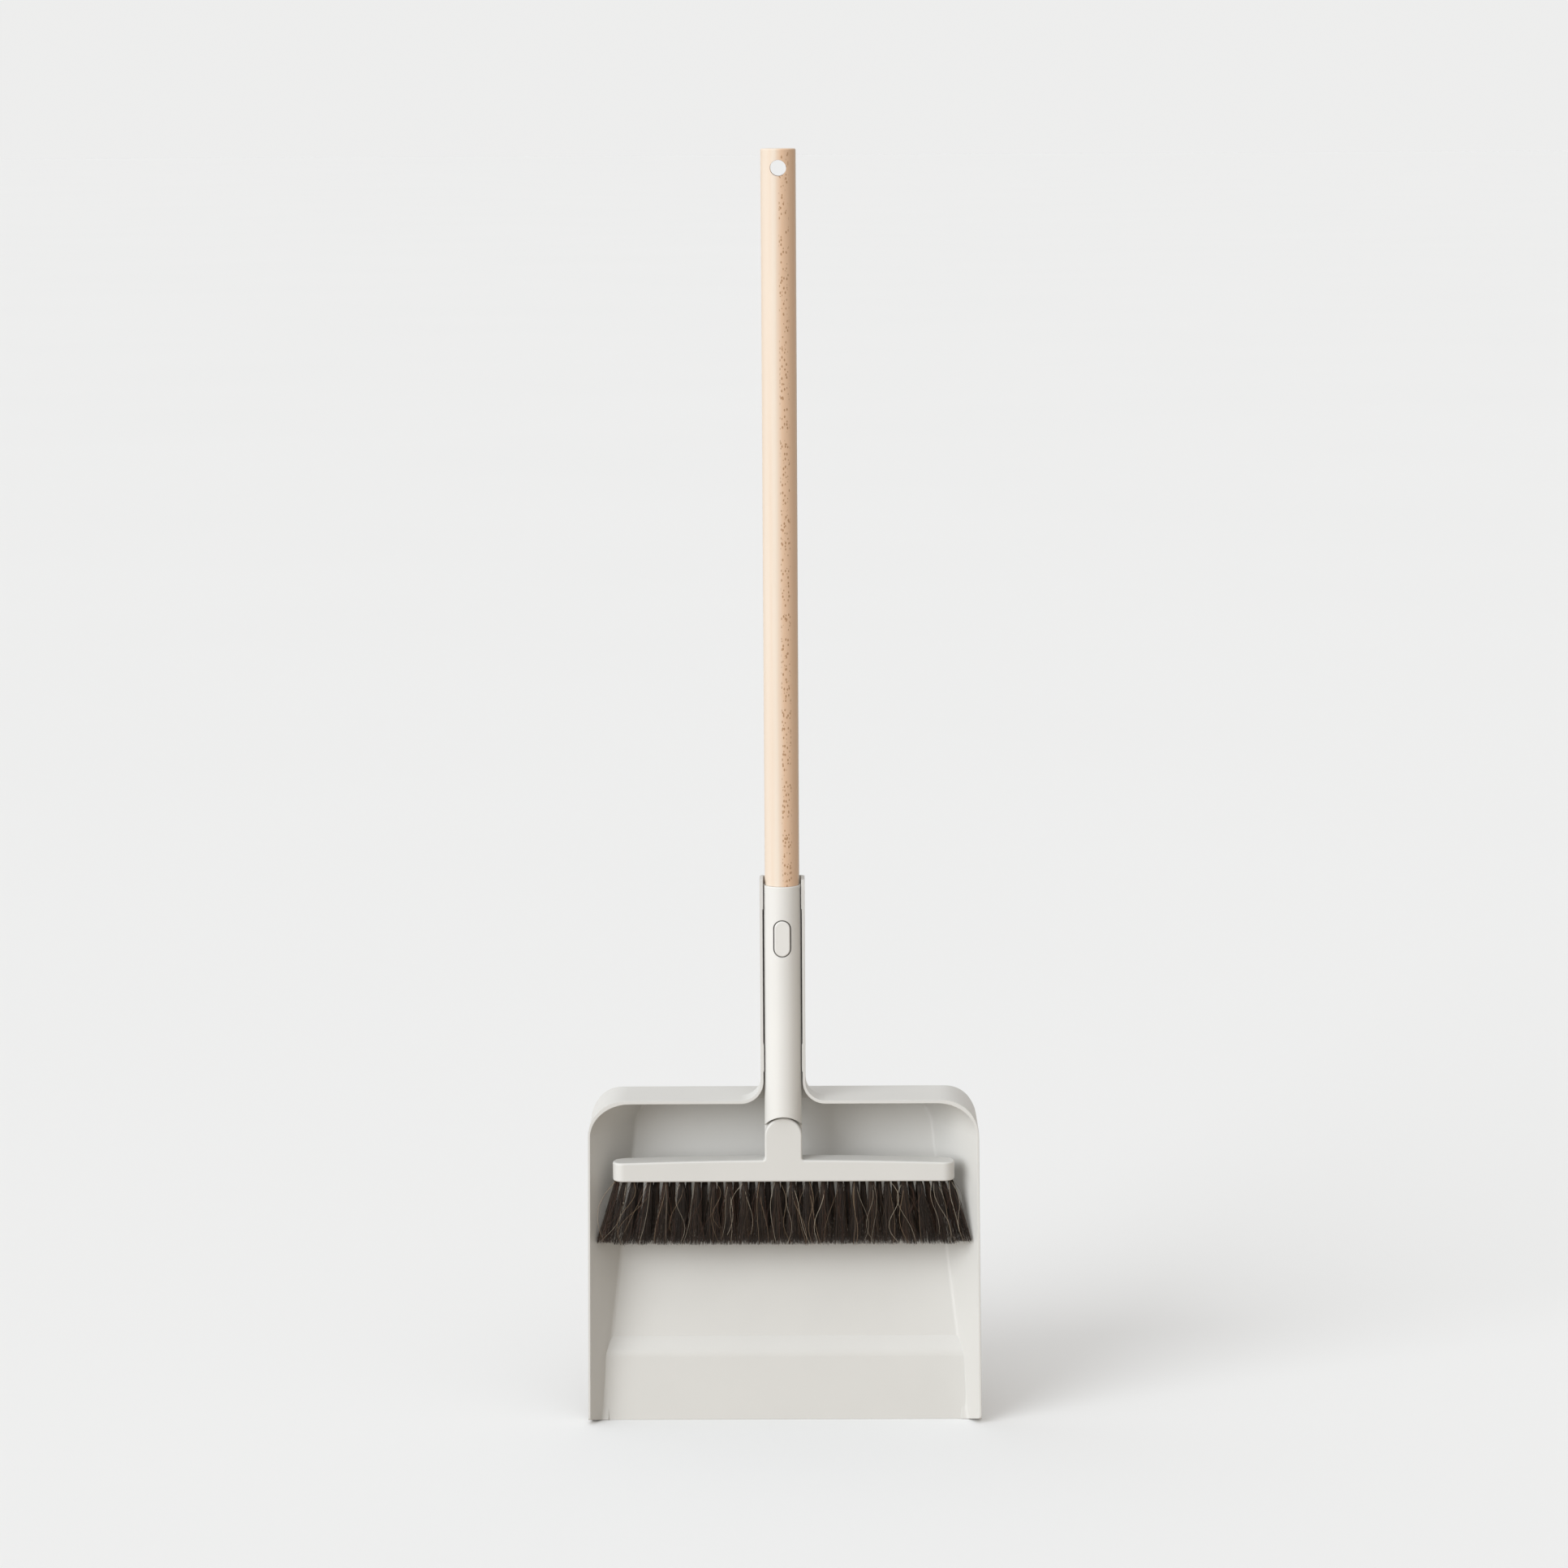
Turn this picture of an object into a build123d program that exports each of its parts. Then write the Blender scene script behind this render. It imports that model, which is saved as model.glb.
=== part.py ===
from build123d import *
import os
from math import atan, cos, radians, sin, sqrt

# A long-handled brush docked in an upright dust pan, standing on the pan's lip.
# Millimetres. X runs across the pan, Y from the front to the back, Z up along the pole.
# Each piece is drawn with the pole's axis on the Z axis and the lip at Z = 0.
# At the end the whole set is shifted so that its origin is at the middle of its footprint.

# Pole
POLE_D = 22.0
POLE_TOP = 822.0
POLE_EDGE_R = 1.0
TENON_D = 14.0
TENON_L = 17.0
HANG_HOLE_D = 10.0
HANG_HOLE_DROP = 12.0

# Stem tube
STEM_D = 24.0
STEM_TOP = 356.5
SOCKET_D = 20.8
SOCKET_DEPTH = 72.0
CORE_D = 18.4
CORE_FLOOR_Z = 214.0
STEM_EDGE_R = 0.6

# Pole adapter
ADAPTER_D = 20.4
ADAPTER_L = 70.0
ADAPTER_BORE_D = 16.8
ADAPTER_WEB = 2.4
PIN_D = 3.0
PIN_DROP = 8.5
SLIP = 0.05

# Release button
BUTTON_W = 10.0
BUTTON_H = 22.9
BUTTON_GAP = 0.7
BUTTON_DROP = 33.5
BUTTON_FACE_Y = -12.0
BUTTON_EDGE_R = 0.8
FLANGE_W = 12.8
FLANGE_H = 26.0
FLANGE_T = 1.5
FLANGE_Y = -5.15
PEG_D = 4.2
PEG_L = 2.2
SEAT_D = 8.4
SEAT_Y = 6.6
SPRING_D = 6.4
SPRING_WIRE = 0.7
SPRING_TURNS = 5

# Swivel knuckle
PIVOT_Z = 193.0
TONGUE_R = 12.0
SEAT_GAP = 1.5
LAP_GAP = 0.1
JOURNAL_D = 10.0
JOURNAL_CLEARANCE = 0.05
DISC_D = 20.0
DISC_T = 0.8
WEB_Y = 5.2
WASHER_D = 12.6
WASHER_T = 0.8
SCREW_D = 3.0
SCREW_GRIP = 11.0
SCREW_HEAD_D = 7.6
SCREW_HEAD_H = 2.3
CAP_D = 13.0
CAP_Y = 9.0

# Brush bar
BAR_L = 220.5
BAR_DEPTH = 16.0
BAR_END_R = 7.5
BAR_TOP_Z = 177.3
BAR_END_DROP = 2.0
BAR_BOTTOM_Z = 163.0
BAR_EDGE_R = 1.2
TONGUE_FOOT_R = 1.5

# Bristles
BRISTLE_L = 41.8
BACKING_T = 1.2
BACKING_MARGIN = 0.7
ROW_STEP = 4.2
TUFT_PITCH = 10.2
TUFT_COUNT = 21
TUFT_ROOT_R = 1.2
TUFT_TIP_R = 2.1
STRAND_ROOT = 0.9
STRAND_TIP = 0.7
STRANDS = 6
END_GAP = 0.925
ROW_SPLAY = 1.2

# Dust pan
PAN_L = 216.0
PAN_W_LIP = 256.0
PAN_W_REAR = 251.4
PAN_WALL = 2.2
RIM_T = 1.4
RIM_Y = -5.0
LIP_BACK_Y = 8.5
LIP_T = 1.4
HEEL_BACK_Y = 46.0
HEEL_R = 8.0
SIDE_SLOPE = 0.62
REAR_CORNER_R = 24.0
FLOOR_FILLET_R = 3.0
LIP_END_Z = 3.7
LIP_END_R = 2.0
LIP_CORNER_R = 3.0
RAMP_Z = 44.0
RAMP_RISE = 3.7
RAMP_STEP_L = 10.0
RAMP_CREST_R = 12.0
RAMP_BAYS = 3
SIDE_BAYS = 3
RIB_T = 1.8

# Channel handle of the pan
HANDLE_TOP = 360.0
HANDLE_W = 28.8
HANDLE_BACK_Y = 14.9
HANDLE_EDGE_R = 3.0
NECK_R = 12.5
CHANNEL_W = 25.1
CHANNEL_BACK_Y = 12.9
GRIP_GAP = 0.15
GRIP_TOP_L = 19.0
GRIP_LOW_Z = 235.0
GRIP_LOW_L = 18.0


def along_y(outline, start, end):
    """Extrude an outline drawn across X and Z from one Y to another."""
    placed = Pos(0, start, 0) * (Plane.XZ * outline)
    return extrude(placed, end - start, dir=(0, 1, 0))


def along_x(profile, half):
    """Extrude a profile drawn across Y and Z to both sides of the middle."""
    return extrude(Plane.YZ * profile, half, both=True)


def outline_of(*points):
    """A face through the points, in the order given."""
    return make_face(Polyline(*points, close=True))


def rounded(outline, corners, radius):
    """Round the named corners of a flat outline."""
    for corner in corners:
        outline = fillet(outline.vertices().sort_by_distance(corner)[0], radius)
    return outline


def upright(diameter, bottom, top):
    """A cylinder on the pole's axis."""
    disc = Pos(0, 0, bottom) * Circle(diameter / 2)
    return extrude(disc, top - bottom, dir=(0, 0, 1))


def crosswise(diameter, start, end, height):
    """A cylinder along Y at a height on the middle plane."""
    return along_y(Pos(0, height) * Circle(diameter / 2), start, end)


def oval(width, height, centre):
    """An upright oval with straight sides, drawn across X and Z."""
    return Pos(0, centre) * Rot(0, 0, 90) * SlotOverall(height, width)


def floor_y(z):
    """Inside face of the pan's main floor at a height."""
    return LIP_BACK_Y - PAN_WALL + (HEEL_BACK_Y - LIP_BACK_Y) * z / PAN_L


def ramp_y(z):
    """Inside face of the lip's ramp at a height."""
    foot = LIP_BACK_Y - LIP_T
    crest = floor_y(RAMP_Z) - RAMP_RISE
    return foot + (crest - foot) * z / RAMP_Z


def half_width(z):
    """Half the pan's outer width at a height."""
    return (PAN_W_LIP + (PAN_W_REAR - PAN_W_LIP) * z / PAN_L) / 2


def side_x(y, z):
    """Inside face of a flared side wall: it leans inwards from the rim to the floor."""
    return half_width(z) - RIM_T - SIDE_SLOPE * (y - RIM_Y)


def tray_section(z, front, back):
    """Cross-section between the side walls at a height."""
    near = side_x(front, z)
    far = side_x(back, z)
    return Pos(0, 0, z) * outline_of((-near, front), (near, front), (far, back), (-far, back))


def make_tray_space():
    """The space inside the tray: flared sides, flat floor, round rear corners."""
    front = RIM_Y - 30
    low = -20.0
    high = PAN_L - PAN_WALL
    ends = [tray_section(z, front, floor_y(z)) for z in (low, high)]
    space = loft(ends, ruled=True)
    rear = space.faces().sort_by(Axis.Z)[-1]
    corners = [edge for edge in rear.edges() if abs(edge.tangent_at(0.5).Y) > 0.5]
    space = fillet(corners, REAR_CORNER_R - PAN_WALL)
    floor = space.faces().sort_by(Axis.Y)[-1]
    rim = [edge for edge in floor.edges() if edge.center().Z > low + 1]
    space = fillet(rim, FLOOR_FILLET_R)
    # The ramp behind the lip stands up from the floor, with a short slope down at its far side.
    meet = (LIP_T - PAN_WALL) / ((ramp_y(1) - ramp_y(0)) - (floor_y(1) - floor_y(0)))
    step = RAMP_Z + RAMP_STEP_L
    crest = (ramp_y(RAMP_Z), RAMP_Z)
    ramp = outline_of(
        (ramp_y(meet), meet), crest, (floor_y(step), step), (HEEL_BACK_Y, step), (HEEL_BACK_Y, meet)
    )
    ramp = rounded(ramp, [crest], RAMP_CREST_R)
    space = space - along_x(ramp, PAN_W_LIP)
    # Nearest the lip the ramp is thinner than the floor, between the rounded corners.
    edge = outline_of((front, low), (ramp_y(low), low), (ramp_y(meet), meet), (front, meet))
    return space + along_x(edge, side_x(LIP_BACK_Y, 0) - FLOOR_FILLET_R)


def make_side_bay(low, high):
    """Hollow behind one flared side wall, open at the underside, on the +X side."""
    slant = PAN_WALL / cos(atan(SIDE_SLOPE))
    apex = RIM_Y + (PAN_WALL - RIM_T + RIB_T + slant) / SIDE_SLOPE
    sections = []
    for z in (low, high):
        outer = half_width(z) - PAN_WALL
        deep = HEEL_BACK_Y + 5
        corner_a = (outer, apex)
        corner_b = (outer, deep)
        corner_c = (side_x(deep, z) + slant, deep)
        corner_d = (side_x(apex, z) + slant, apex)
        sections.append(Pos(0, 0, z) * outline_of(corner_a, corner_b, corner_c, corner_d))
    return loft(sections, ruled=True)


def make_dustpan():
    lip = PAN_W_LIP / 2
    rear = PAN_W_REAR / 2
    outline = outline_of((-lip, 0), (lip, 0), (rear, PAN_L), (-rear, PAN_L))
    outline = rounded(outline, [(rear, PAN_L), (-rear, PAN_L)], REAR_CORNER_R)
    outline = rounded(outline, [(lip, 0), (-lip, 0)], LIP_CORNER_R)
    heel = (HEEL_BACK_Y, PAN_L)
    profile = outline_of(
        (LIP_BACK_Y, 0), heel, (RIM_Y, PAN_L), (RIM_Y, LIP_END_Z), (LIP_BACK_Y - LIP_T, 0)
    )
    profile = rounded(profile, [heel], HEEL_R)
    profile = rounded(profile, [(RIM_Y, LIP_END_Z)], LIP_END_R)
    tray = along_y(outline, RIM_Y - 1, HEEL_BACK_Y + 1) & along_x(profile, PAN_W_LIP)

    # The rear wall's rim sweeps up into the handle.
    half = HANDLE_W / 2
    base = half + NECK_R + 6
    neck = outline_of(
        (-base, PAN_L - 10), (base, PAN_L - 10), (base, PAN_L), (half, PAN_L),
        (half, HANDLE_TOP), (-half, HANDLE_TOP), (-half, PAN_L), (-base, PAN_L),
    )
    neck = rounded(neck, [(half, PAN_L), (-half, PAN_L)], NECK_R)
    handle = along_y(neck, RIM_Y, HANDLE_BACK_Y)
    back = handle.faces().sort_by(Axis.Y)[-1]
    edges = [edge for edge in back.edges() if edge.center().Z > PAN_L + 0.1]
    handle = fillet(edges, HANDLE_EDGE_R)

    # The channel opens into the tray with the same sweep, one wall thickness further in.
    slot = CHANNEL_W / 2
    inner = PAN_L - PAN_WALL
    wide = slot + NECK_R + PAN_WALL + 4
    channel = outline_of(
        (-wide, PAN_L / 2), (wide, PAN_L / 2), (wide, inner), (slot, inner),
        (slot, HANDLE_TOP + 5), (-slot, HANDLE_TOP + 5), (-slot, inner), (-wide, inner),
    )
    channel = rounded(channel, [(slot, inner), (-slot, inner)], NECK_R + PAN_WALL)
    pan = tray + handle - make_tray_space() - along_y(channel, RIM_Y - 30, CHANNEL_BACK_Y)

    # Grip collars hold the stem at the top and at the foot of the channel.
    grip = STEM_D / 2 + GRIP_GAP
    wall = (slot + half) / 2
    wall_back = (CHANNEL_BACK_Y + HANDLE_BACK_Y) / 2
    collar = outline_of((-wall, RIM_Y), (wall, RIM_Y), (wall, wall_back), (-wall, wall_back))
    collar = collar - outline_of((-grip, RIM_Y - 1), (grip, RIM_Y - 1), (grip, grip), (-grip, grip))
    for low, length in ((HANDLE_TOP - GRIP_TOP_L, GRIP_TOP_L), (GRIP_LOW_Z, GRIP_LOW_L)):
        pan = pan + extrude(Pos(0, 0, low) * collar, length, dir=(0, 0, 1))

    # Hollows at the underside keep the walls even: behind the side walls and under the ramp.
    low = RAMP_Z - 12
    high = PAN_L - REAR_CORNER_R - 4
    step = (high - low) / SIDE_BAYS
    for bay in range(SIDE_BAYS):
        hollow = make_side_bay(low + bay * step, low + (bay + 1) * step - RIB_T)
        pan = pan - hollow - mirror(hollow, Plane.YZ)
    near = RAMP_Z / 3
    far = RAMP_Z - 1
    hollow = outline_of(
        (ramp_y(near) + PAN_WALL, near),
        (ramp_y(far) + PAN_WALL, far),
        (HEEL_BACK_Y, far),
        (HEEL_BACK_Y, near),
    )
    span = 2 * (side_x(LIP_BACK_Y, 0) - 14) / RAMP_BAYS
    for bay in range(RAMP_BAYS):
        middle = (bay - (RAMP_BAYS - 1) / 2) * span
        pan = pan - Pos(middle, 0, 0) * along_x(hollow, (span - RIB_T) / 2)
    return pan


def make_pole():
    seat = STEM_TOP + 2 * SLIP
    pole = upright(POLE_D, seat, POLE_TOP)
    pole = fillet(pole.edges().sort_by(Axis.Z)[-1], POLE_EDGE_R)
    pole = pole + upright(TENON_D, seat - TENON_L, seat)
    pole = pole - crosswise(HANG_HOLE_D, -POLE_D, POLE_D, POLE_TOP - HANG_HOLE_DROP)
    return pole - pin_hole(PIN_D)


def pin_hole(diameter):
    """The cross hole for the pin, through adapter and tenon."""
    return along_x(Pos(0, STEM_TOP - PIN_DROP) * Circle(diameter / 2), POLE_D)


def make_pole_pin():
    half = sqrt((ADAPTER_D / 2) ** 2 - (PIN_D / 2) ** 2) - 0.2
    return along_x(Pos(0, STEM_TOP - PIN_DROP) * Circle(PIN_D / 2 - SLIP), half)


def button_z():
    """Height of the middle of the button."""
    return STEM_TOP - BUTTON_DROP


def make_pole_adapter():
    bottom = STEM_TOP - ADAPTER_L
    cup_floor = STEM_TOP - TENON_L - 2 * SLIP
    adapter = upright(ADAPTER_D, bottom, STEM_TOP)
    adapter = fillet(adapter.edges().sort_by(Axis.Z)[0], 1.0)
    adapter = adapter - upright(TENON_D + 2 * SLIP, cup_floor, STEM_TOP + 1)
    adapter = adapter - upright(ADAPTER_BORE_D, bottom - 1, cup_floor - ADAPTER_WEB)
    seat = crosswise(SEAT_D, SEAT_Y, ADAPTER_BORE_D / 2 + 0.2, button_z())
    peg = crosswise(PEG_D, SEAT_Y - PEG_L, SEAT_Y + 1, button_z())
    adapter = adapter + seat + peg
    window = along_y(oval(BUTTON_W + 0.4, BUTTON_H + 0.4, button_z()), -ADAPTER_D, 0)
    return adapter - window - pin_hole(PIN_D)


def make_release_button():
    head = along_y(oval(BUTTON_W, BUTTON_H, button_z()), BUTTON_FACE_Y, FLANGE_Y)
    head = fillet(head.faces().sort_by(Axis.Y)[0].edges(), BUTTON_EDGE_R)
    flange = along_y(oval(FLANGE_W, FLANGE_H, button_z()), FLANGE_Y, FLANGE_Y + FLANGE_T)
    peg = crosswise(PEG_D, FLANGE_Y, FLANGE_Y + FLANGE_T + PEG_L, button_z())
    return head + flange + peg


def make_button_spring():
    start = FLANGE_Y + FLANGE_T + SPRING_WIRE / 2 + SLIP
    end = SEAT_Y - SPRING_WIRE / 2 - SLIP
    radius = (SPRING_D - SPRING_WIRE) / 2
    coil = Helix((end - start) / SPRING_TURNS, end - start, radius, (0, start, button_z()), (0, 1, 0))
    section = Plane(coil @ 0, z_dir=coil % 0) * Rectangle(SPRING_WIRE, SPRING_WIRE)
    return sweep(section, coil, is_frenet=True)


def make_stem():
    radius = STEM_D / 2
    bottom = PIVOT_Z - radius
    stem = upright(STEM_D, bottom, STEM_TOP)
    stem = fillet(stem.edges().sort_by(Axis.Z)[-1], STEM_EDGE_R)
    # The foot is rounded about the pivot.
    tall = STEM_TOP - PIVOT_Z
    shape = Pos(0, PIVOT_Z + tall / 2) * Rectangle(STEM_D, tall) + Pos(0, PIVOT_Z) * Circle(radius)
    stem = stem & along_y(shape, -STEM_D, STEM_D)
    stem = stem - upright(SOCKET_D, STEM_TOP - SOCKET_DEPTH, STEM_TOP + 1)
    stem = stem - upright(CORE_D, CORE_FLOOR_Z, STEM_TOP)
    window = oval(BUTTON_W + 2 * BUTTON_GAP, BUTTON_H + 2 * BUTTON_GAP, button_z())
    stem = stem - along_y(window, -STEM_D, 0)
    # The front half makes room for the tongue of the brush bar.
    lap = Pos(0, PIVOT_Z) * Circle(TONGUE_R + SEAT_GAP)
    lap = lap + Pos(0, PIVOT_Z - radius) * Rectangle(2 * STEM_D, STEM_D)
    stem = stem - along_y(lap, -STEM_D, 0)
    stem = stem - crosswise(DISC_D + 0.2, -1, DISC_T, PIVOT_Z)
    stem = stem - crosswise(JOURNAL_D + 2 * JOURNAL_CLEARANCE, -1, STEM_D, PIVOT_Z)
    return stem - crosswise(CAP_D + 2 * SLIP, WEB_Y, STEM_D, PIVOT_Z)


def make_friction_disc():
    disc = crosswise(DISC_D, SLIP / 2, DISC_T - SLIP / 2, PIVOT_Z)
    return disc - crosswise(JOURNAL_D + 4 * JOURNAL_CLEARANCE, -1, DISC_T + 1, PIVOT_Z)


def make_pivot_washer():
    start = WEB_Y + SLIP
    washer = crosswise(WASHER_D, start, start + WASHER_T, PIVOT_Z)
    return washer - crosswise(SCREW_D + 0.6, start - 1, start + WASHER_T + 1, PIVOT_Z)


def make_pivot_screw():
    under = WEB_Y + SLIP + WASHER_T
    head = crosswise(SCREW_HEAD_D, under, under + SCREW_HEAD_H, PIVOT_Z)
    head = fillet(head.faces().sort_by(Axis.Y)[-1].edges(), 1.1)
    arm = Rectangle(4.2, 0.9) + Rectangle(0.9, 4.2)
    head = head - along_y(Pos(0, PIVOT_Z) * arm, under + SCREW_HEAD_H - 1.2, under + SCREW_HEAD_H + 1)
    shank = crosswise(SCREW_D, under - SCREW_GRIP, under, PIVOT_Z)
    shank = chamfer(shank.faces().sort_by(Axis.Y)[0].edges(), 0.6)
    return head + shank


def make_pivot_cap():
    cap = crosswise(CAP_D, CAP_Y, STEM_D, PIVOT_Z)
    return cap & upright(STEM_D, PIVOT_Z - STEM_D, PIVOT_Z + STEM_D)


def bar_plan(margin):
    """The bar's plan, drawn in by a margin."""
    return RectangleRounded(BAR_L - 2 * margin, BAR_DEPTH - 2 * margin, BAR_END_R - margin)


def make_brush_head():
    half = BAR_L / 2
    front = -BAR_DEPTH / 2
    # Seen from the front, the bar's top falls a little from the knuckle to the ends and past them.
    past = half + BAR_END_R
    past_z = BAR_TOP_Z - BAR_END_DROP * (past / half) ** 2
    crown = make_face(
        [
            Line((-past, BAR_BOTTOM_Z), (past, BAR_BOTTOM_Z)),
            Line((past, BAR_BOTTOM_Z), (past, past_z)),
            ThreePointArc((past, past_z), (0, BAR_TOP_Z), (-past, past_z)),
            Line((-past, past_z), (-past, BAR_BOTTOM_Z)),
        ]
    )
    plate = Pos(0, (PIVOT_Z + BAR_BOTTOM_Z) / 2) * Rectangle(2 * TONGUE_R, PIVOT_Z - BAR_BOTTOM_Z)
    face = crown + plate + Pos(0, PIVOT_Z) * Circle(TONGUE_R)
    face = rounded(face, [(TONGUE_R, BAR_TOP_Z), (-TONGUE_R, BAR_TOP_Z)], TONGUE_FOOT_R)
    plan = Pos(0, 0, BAR_BOTTOM_Z) * bar_plan(0)
    plan = extrude(plan, BAR_TOP_Z - BAR_BOTTOM_Z + 1, dir=(0, 0, 1))
    block = (along_y(crown, front, -front) & plan) + along_y(face - crown, front, -LAP_GAP)
    # Every outer edge is rounded, but not the seams where the flat sides meet the round ends.
    rim = []
    for edge in block.edges():
        place = edge.center()
        outer = abs(abs(place.Y) - BAR_DEPTH / 2) < 0.01 or abs(place.X) > half - BAR_END_R
        seam = abs(edge.tangent_at(0.5).Z) > 0.99 and abs(place.X) > TONGUE_R + TONGUE_FOOT_R
        if outer and not seam:
            rim.append(edge)
    block = fillet(rim, BAR_EDGE_R)
    head = block + crosswise(JOURNAL_D, -1, WEB_Y + SLIP, PIVOT_Z)
    head = head - crosswise(SCREW_D + 2 * SLIP, WEB_Y - SCREW_GRIP, STEM_D, PIVOT_Z)
    recess = Pos(0, 0, BAR_BOTTOM_Z) * bar_plan(BACKING_MARGIN + BAR_EDGE_R / 2)
    return head - extrude(recess, BACKING_T, dir=(0, 0, 1))


def make_strand(x, y, tip_x, tip_y):
    """One tapered hair bundle, from inside the backing to the tips."""
    root = Pos(x, y, BAR_BOTTOM_Z + BACKING_T / 2) * Rectangle(STRAND_ROOT, STRAND_ROOT)
    tip = Pos(tip_x, tip_y, BAR_BOTTOM_Z - BRISTLE_L) * Rectangle(STRAND_TIP, STRAND_TIP)
    return loft([root, tip], ruled=True)


def tuft_places(row):
    """Places of a row's tufts along the bar. The rows are staggered by half a pitch."""
    count = TUFT_COUNT if row == 0 else TUFT_COUNT - 1
    places = [(tuft - (count - 1) / 2) * TUFT_PITCH for tuft in range(count)]
    if row == 0:
        # The middle row has one more tuft in each round end of the bar.
        end = places[-1] + TUFT_PITCH / 2
        places = [-end] + places + [end]
    return places


def tuft_lean(x):
    """How far a tuft leans outwards. The tips of the last ones end just inside the pan's side walls."""
    last = tuft_places(0)[-1]
    wall = side_x(0, BAR_BOTTOM_Z - BRISTLE_L)
    reach = wall - END_GAP - TUFT_TIP_R - STRAND_TIP / 2
    return (reach - last) * (x / last) ** 3


def make_bristles(row):
    """A row of tufts on its own slice of the backing. Row is -1, 0 or 1 from front to back."""
    y = row * ROW_STEP
    tip_y = y + row * ROW_SPLAY
    strip_depth = ROW_STEP if row == 0 else BAR_DEPTH
    strip_y = 0 if row == 0 else row * (ROW_STEP + BAR_DEPTH) / 2
    strip = Pos(0, strip_y) * Rectangle(BAR_L, strip_depth - 2 * SLIP)
    strip = strip & bar_plan(BACKING_MARGIN + BAR_EDGE_R / 2 + SLIP)
    strip = extrude(Pos(0, 0, BAR_BOTTOM_Z) * strip, BACKING_T - SLIP, dir=(0, 0, 1))
    strands = []
    for tuft, x in enumerate(tuft_places(row)):
        tip_x = x + tuft_lean(x)
        for strand in range(STRANDS):
            angle = radians(360 * strand / STRANDS + 30 * (tuft % 2))
            across = cos(angle)
            along = sin(angle)
            strands.append(
                make_strand(
                    x + TUFT_ROOT_R * across,
                    y + TUFT_ROOT_R * along,
                    tip_x + TUFT_TIP_R * across,
                    tip_y + TUFT_TIP_R * along,
                )
            )
    return strip.fuse(*strands)


PIECES = {
    "dustpan": make_dustpan(),
    "stem": make_stem(),
    "pole": make_pole(),
    "pole_adapter": make_pole_adapter(),
    "pole_pin": make_pole_pin(),
    "release_button": make_release_button(),
    "button_spring": make_button_spring(),
    "brush_head": make_brush_head(),
    "friction_disc": make_friction_disc(),
    "pivot_washer": make_pivot_washer(),
    "pivot_screw": make_pivot_screw(),
    "pivot_cap": make_pivot_cap(),
    "front_bristles": make_bristles(-1),
    "middle_bristles": make_bristles(0),
    "rear_bristles": make_bristles(1),
}

os.makedirs("parts", exist_ok=True)
boxes = [piece.bounding_box() for piece in PIECES.values()]
front = min(box.min.Y for box in boxes)
back = max(box.max.Y for box in boxes)
middle = (front + back) / 2
for name, piece in PIECES.items():
    export_step(Pos(0, -middle, 0) * piece, f"parts/{name}.step")
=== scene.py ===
import math
import random

import bmesh
import bpy
from bpy.props import FloatProperty, FloatVectorProperty, IntProperty, PointerProperty
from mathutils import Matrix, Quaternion, Vector


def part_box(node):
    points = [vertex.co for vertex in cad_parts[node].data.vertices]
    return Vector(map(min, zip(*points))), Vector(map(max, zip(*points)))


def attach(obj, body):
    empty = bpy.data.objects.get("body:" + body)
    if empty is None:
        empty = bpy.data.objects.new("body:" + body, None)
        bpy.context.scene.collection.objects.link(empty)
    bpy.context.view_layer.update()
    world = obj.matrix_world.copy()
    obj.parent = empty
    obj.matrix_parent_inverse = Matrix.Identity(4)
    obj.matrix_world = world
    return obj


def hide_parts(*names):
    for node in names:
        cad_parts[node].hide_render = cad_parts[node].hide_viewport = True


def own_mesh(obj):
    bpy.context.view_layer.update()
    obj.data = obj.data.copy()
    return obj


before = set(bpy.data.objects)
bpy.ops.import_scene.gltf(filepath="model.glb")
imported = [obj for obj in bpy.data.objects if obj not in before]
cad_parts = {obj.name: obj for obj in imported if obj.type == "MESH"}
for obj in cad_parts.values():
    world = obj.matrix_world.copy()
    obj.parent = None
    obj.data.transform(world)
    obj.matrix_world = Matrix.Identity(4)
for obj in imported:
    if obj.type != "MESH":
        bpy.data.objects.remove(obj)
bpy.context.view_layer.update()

bl_info = {
    "name": "Dust Pan and Brush Finish",
    "version": (1, 0, 0),
    "blender": (4, 5, 0),
    "location": "View3D > Sidebar > Dust Pan",
    "description": "Dresses a dust pan and brush set in moulded plastic, beech, steel and dark hair",
    "category": "Object",
}

POLE_LOW, POLE_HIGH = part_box("pole")
POLE_MIDDLE = (POLE_LOW + POLE_HIGH) / 2
POLE_RADIUS = (POLE_HIGH.x - POLE_LOW.x) / 2
BAR_LOW, BAR_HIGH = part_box("brush_head")
BAR_HALF = (BAR_HIGH.x - BAR_LOW.x) / 2
TIP_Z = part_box("front_bristles")[0].z

# Sizes in metres, and sides of the pole in degrees from the front to the right.
ROOT_DEPTH = 0.0006
BAR_CORNER = 0.0075
BED_MARGIN = 0.00135
BED_THICKNESS = 0.0011
BED_EDGE = 0.0002
# The flat-sawn sides turn 36 degrees to the right, so their warmer tone partly paints shade on the pole's
# right half.
FLAT_SAWN_SHADE_SIDE = 36
FLECK_SIDE = 19
FLOOR_HALF = 60.0
CAMERA_AIM = Vector((0.0016, POLE_MIDDLE.y, 0.4213))

HAIR_SIDES = 3
TUFT_RINGS = 6
STRAY_RINGS = 12
SHORT_SHARE = 0.05
WIRE_SIDES = 8
STEPS_A_TURN = 24
CORNER_STEPS = 6

KEY_COLOUR = (0.955, 0.98, 1.0)
ROOM_COLOUR = (1.0, 0.90, 0.78)
WINDOW_COLOUR = (0.95, 0.975, 1.0)
WINDOW_SIDE = Vector((-0.36, -0.36, 0.86)).normalized()

# The pan and the brush bar get the darker off-white, which is painted shade for the lower pieces.
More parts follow.
